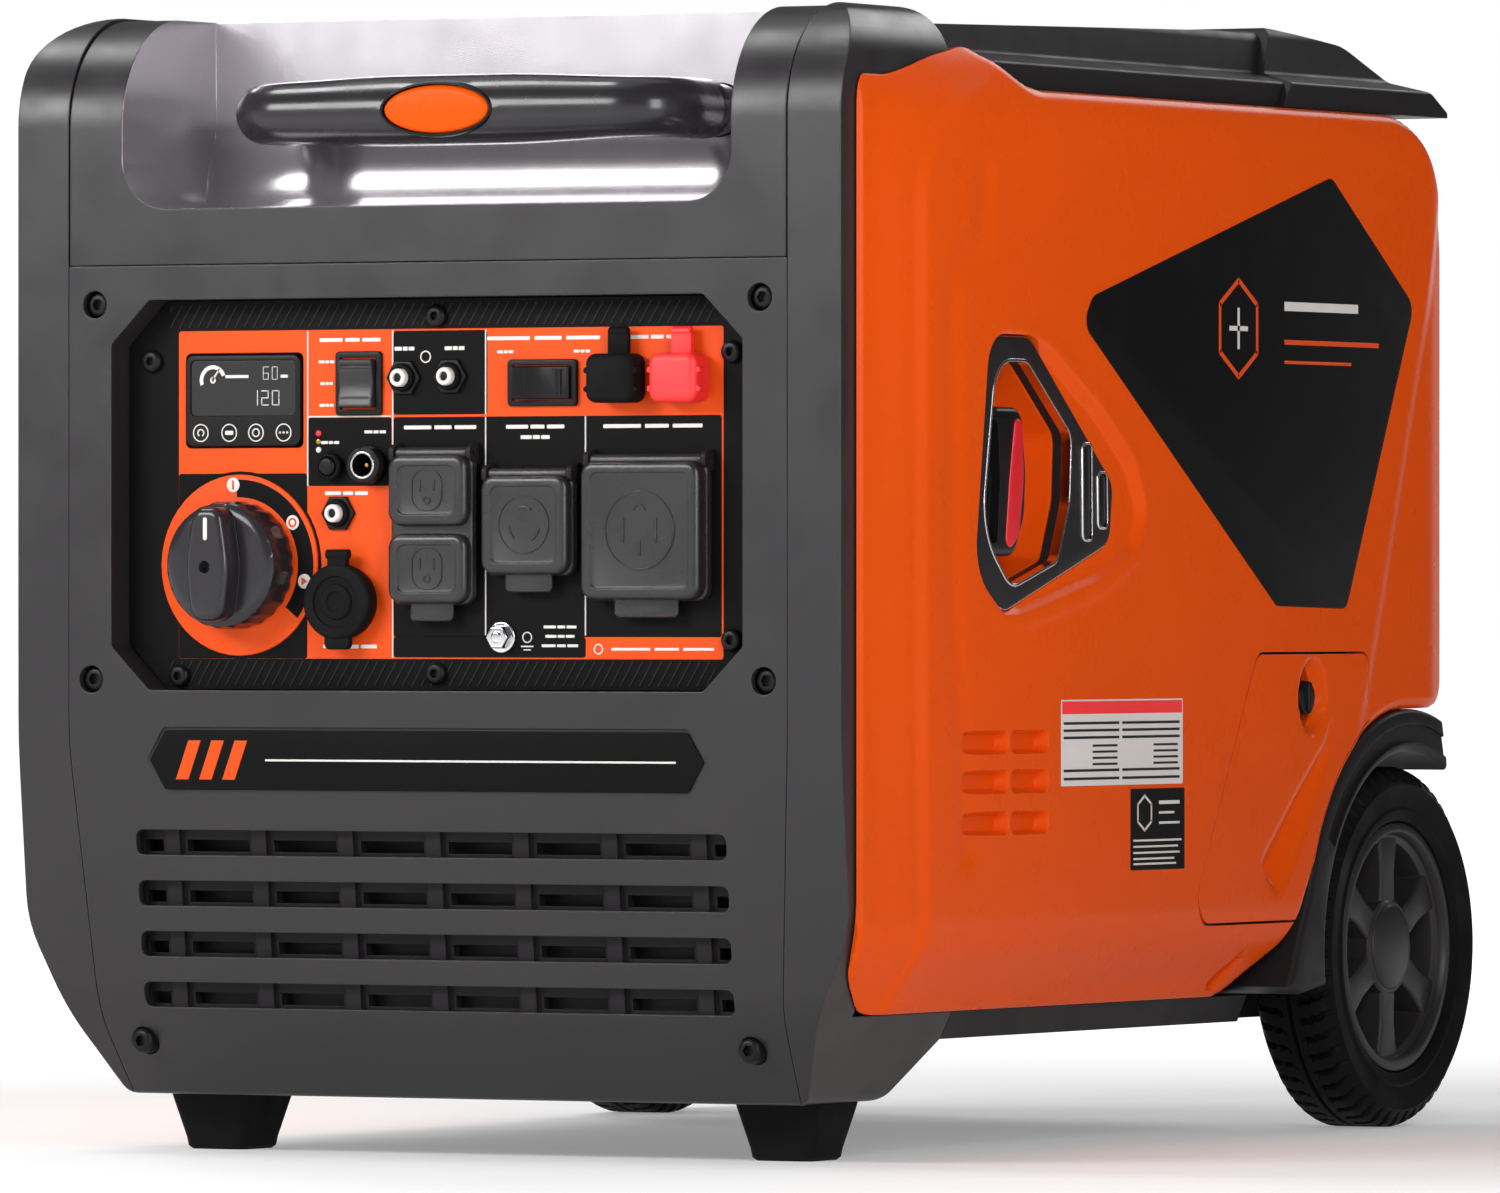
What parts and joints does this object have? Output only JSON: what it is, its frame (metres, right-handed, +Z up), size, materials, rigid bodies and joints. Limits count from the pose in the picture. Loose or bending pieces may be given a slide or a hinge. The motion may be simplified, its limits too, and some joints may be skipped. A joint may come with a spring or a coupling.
{
  "type": "portable generator",
  "caption": "Enclosed portable inverter generator with a front control panel, side recoil starter, telescopic pull handle and two wheels.",
  "frame": {"origin": "on the ground, under the middle of the bounding box", "axes": "+X to the right as seen from the control panel, +Y from the control panel to the wheels, +Z up"},
  "size_m": [0.478, 0.713, 0.5578],
  "materials": {
    "orange_plastic": "satin moulded plastic",
    "casing_plastic": "fine textured moulded plastic",
    "trim_plastic": "fine textured moulded plastic",
    "black_plastic": "satin moulded plastic",
    "grip_plastic": "satin",
    "rubber": "matte",
    "tyre": "matte tread rubber",
    "red_rubber": "satin",
    "recoil_red": "satin",
    "chrome": "polished",
    "steel": "zinc plated",
    "cast_aluminium": "as cast"
  },
  "bodies": {
    "casing": {"base_tray": "trim_plastic", "grille_insert": "trim_plastic", "top_cover": "trim_plastic", "rear_top_cap": "trim_plastic", "front_cover": "casing_plastic", "handle_housing": "casing_plastic", "rear_cover": "casing_plastic", "left_hoop": "casing_plastic", "right_hoop": "casing_plastic", "left_side_panel": "orange_plastic", "right_side_panel": "orange_plastic", "recoil_pocket": "orange_plastic", "left_fender": "black_plastic", "right_fender": "black_plastic", "control_panel": "black_plastic", "display_module": "black_plastic", "engine_switch": "black_plastic", "voltage_switch": "black_plastic", "battery_inlet": "black_plastic", "dc_socket": "black_plastic", "gfci_outlet": "black_plastic", "twist_lock_outlet": "black_plastic", "rv_outlet": "black_plastic", "parallel_terminals": "black_plastic", "fuel_tank": "black_plastic", "battery": "black_plastic", "left_foot": "rubber", "right_foot": "rubber", "recoil_bezel": "chrome", "axle": "steel", "left_guide_tube": "steel", "right_guide_tube": "steel", "ground_bolt": "steel", "muffler": "steel", "inverter_module": "cast_aluminium", "engine_block": "cast_aluminium", "alternator": "cast_aluminium"},
    "handle": {"handle": "grip_plastic"},
    "handle_button": {"handle_button": "orange_plastic"},
    "fuel_knob": {"fuel_knob": "grip_plastic"},
    "engine_rocker": {"engine_rocker": "trim_plastic"},
    "voltage_rocker": {"voltage_rocker": "trim_plastic"},
    "breaker_button_1": {"breaker_button_1": "black_plastic"},
    "breaker_button_2": {"breaker_button_2": "black_plastic"},
    "breaker_button_3": {"breaker_button_3": "black_plastic"},
    "co_button": {"co_button": "black_plastic"},
    "gfci_cover": {"gfci_cover": "trim_plastic"},
    "twist_lock_cover": {"twist_lock_cover": "trim_plastic"},
    "rv_cover": {"rv_cover": "trim_plastic"},
    "dc_cap": {"dc_cap": "rubber"},
    "parallel_cap_black": {"parallel_cap_black": "rubber"},
    "parallel_cap_red": {"parallel_cap_red": "red_rubber"},
    "recoil_handle": {"recoil_handle": "recoil_red"},
    "service_door": {"service_door": "orange_plastic"},
    "door_latch": {"door_latch": "black_plastic"},
    "fuel_cap": {"fuel_cap": "black_plastic"},
    "left_wheel": {"left_tyre": "tyre", "left_rim": "trim_plastic"},
    "right_wheel": {"right_tyre": "tyre", "right_rim": "trim_plastic"}
  },
  "joints": [
    {"name": "handle_slide", "type": "slide", "parent": "casing", "child": "handle", "axis": [0, -1, 0], "range_m": [0, 0.32]},
    {"name": "handle_button_press", "type": "slide", "parent": "handle", "child": "handle_button", "axis": [0, 1, 0], "range_m": [0, 0.0025], "stiffness_N_per_m": 600},
    {"name": "fuel_knob_turn", "type": "hinge", "parent": "casing", "child": "fuel_knob", "pos_m": [-0.1114, -0.3225, 0.2858], "axis": [0, 1, 0], "range_deg": [0, 107]},
    {"name": "engine_rocker_tilt", "type": "hinge", "parent": "casing", "child": "engine_rocker", "pos_m": [-0.0445, -0.3225, 0.3734], "axis": [1, 0, 0], "range_deg": [-8, 8]},
    {"name": "voltage_rocker_tilt", "type": "hinge", "parent": "casing", "child": "voltage_rocker", "pos_m": [0.057, -0.3225, 0.373], "axis": [0, 0, 1], "range_deg": [-16, 0]},
    {"name": "breaker_1_press", "type": "slide", "parent": "casing", "child": "breaker_button_1", "axis": [0, 1, 0], "range_m": [0, 0.003], "stiffness_N_per_m": 400},
    {"name": "breaker_2_press", "type": "slide", "parent": "casing", "child": "breaker_button_2", "axis": [0, 1, 0], "range_m": [0, 0.003], "stiffness_N_per_m": 400},
    {"name": "breaker_3_press", "type": "slide", "parent": "casing", "child": "breaker_button_3", "axis": [0, 1, 0], "range_m": [0, 0.003], "stiffness_N_per_m": 400},
    {"name": "co_button_press", "type": "slide", "parent": "casing", "child": "co_button", "axis": [0, 1, 0], "range_m": [0, 0.0015], "stiffness_N_per_m": 400},
    {"name": "gfci_cover_lift", "type": "hinge", "parent": "casing", "child": "gfci_cover", "pos_m": [-0.00085, -0.3281, 0.3396], "axis": [-1, 0, 0], "range_deg": [0, 105]},
    {"name": "twist_lock_cover_lift", "type": "hinge", "parent": "casing", "child": "twist_lock_cover", "pos_m": [0.0524, -0.3281, 0.3295], "axis": [-1, 0, 0], "range_deg": [0, 105]},
    {"name": "rv_cover_lift", "type": "hinge", "parent": "casing", "child": "rv_cover", "pos_m": [0.11675, -0.3281, 0.3358], "axis": [-1, 0, 0], "range_deg": [0, 105]},
    {"name": "dc_cap_lift", "type": "hinge", "parent": "casing", "child": "dc_cap", "pos_m": [-0.0524, -0.33, 0.291], "axis": [-1, 0, 0], "range_deg": [0, 100]},
    {"name": "parallel_cap_black_lift", "type": "hinge", "parent": "casing", "child": "parallel_cap_black", "pos_m": [0.101, -0.3277, 0.397], "axis": [-1, 0, 0], "range_deg": [0, 85]},
    {"name": "parallel_cap_red_lift", "type": "hinge", "parent": "casing", "child": "parallel_cap_red", "pos_m": [0.1355, -0.3277, 0.397], "axis": [-1, 0, 0], "range_deg": [0, 85]},
    {"name": "recoil_pull", "type": "slide", "parent": "casing", "child": "recoil_handle", "axis": [1, 0, 0], "range_m": [0, 0.6], "stiffness_N_per_m": 25},
    {"name": "service_door_open", "type": "hinge", "parent": "casing", "child": "service_door", "pos_m": [0.2387, 0.0715, 0.1085], "axis": [0, 1, 0], "range_deg": [0, 85]},
    {"name": "door_latch_turn", "type": "hinge", "parent": "service_door", "child": "door_latch", "pos_m": [0.237, 0.1455, 0.22], "axis": [1, 0, 0], "range_deg": [0, 90]},
    {"name": "fuel_cap_turn", "type": "hinge", "parent": "casing", "child": "fuel_cap", "pos_m": [0, -0.0395, 0.54], "axis": [0, 0, 1], "range_deg": [0, 120]},
    {"name": "left_wheel_spin", "type": "hinge", "parent": "casing", "child": "left_wheel", "pos_m": [-0.2095, 0.2645, 0.092], "axis": [1, 0, 0], "continuous": true},
    {"name": "right_wheel_spin", "type": "hinge", "parent": "casing", "child": "right_wheel", "pos_m": [0.2095, 0.2645, 0.092], "axis": [1, 0, 0], "continuous": true}
  ]
}
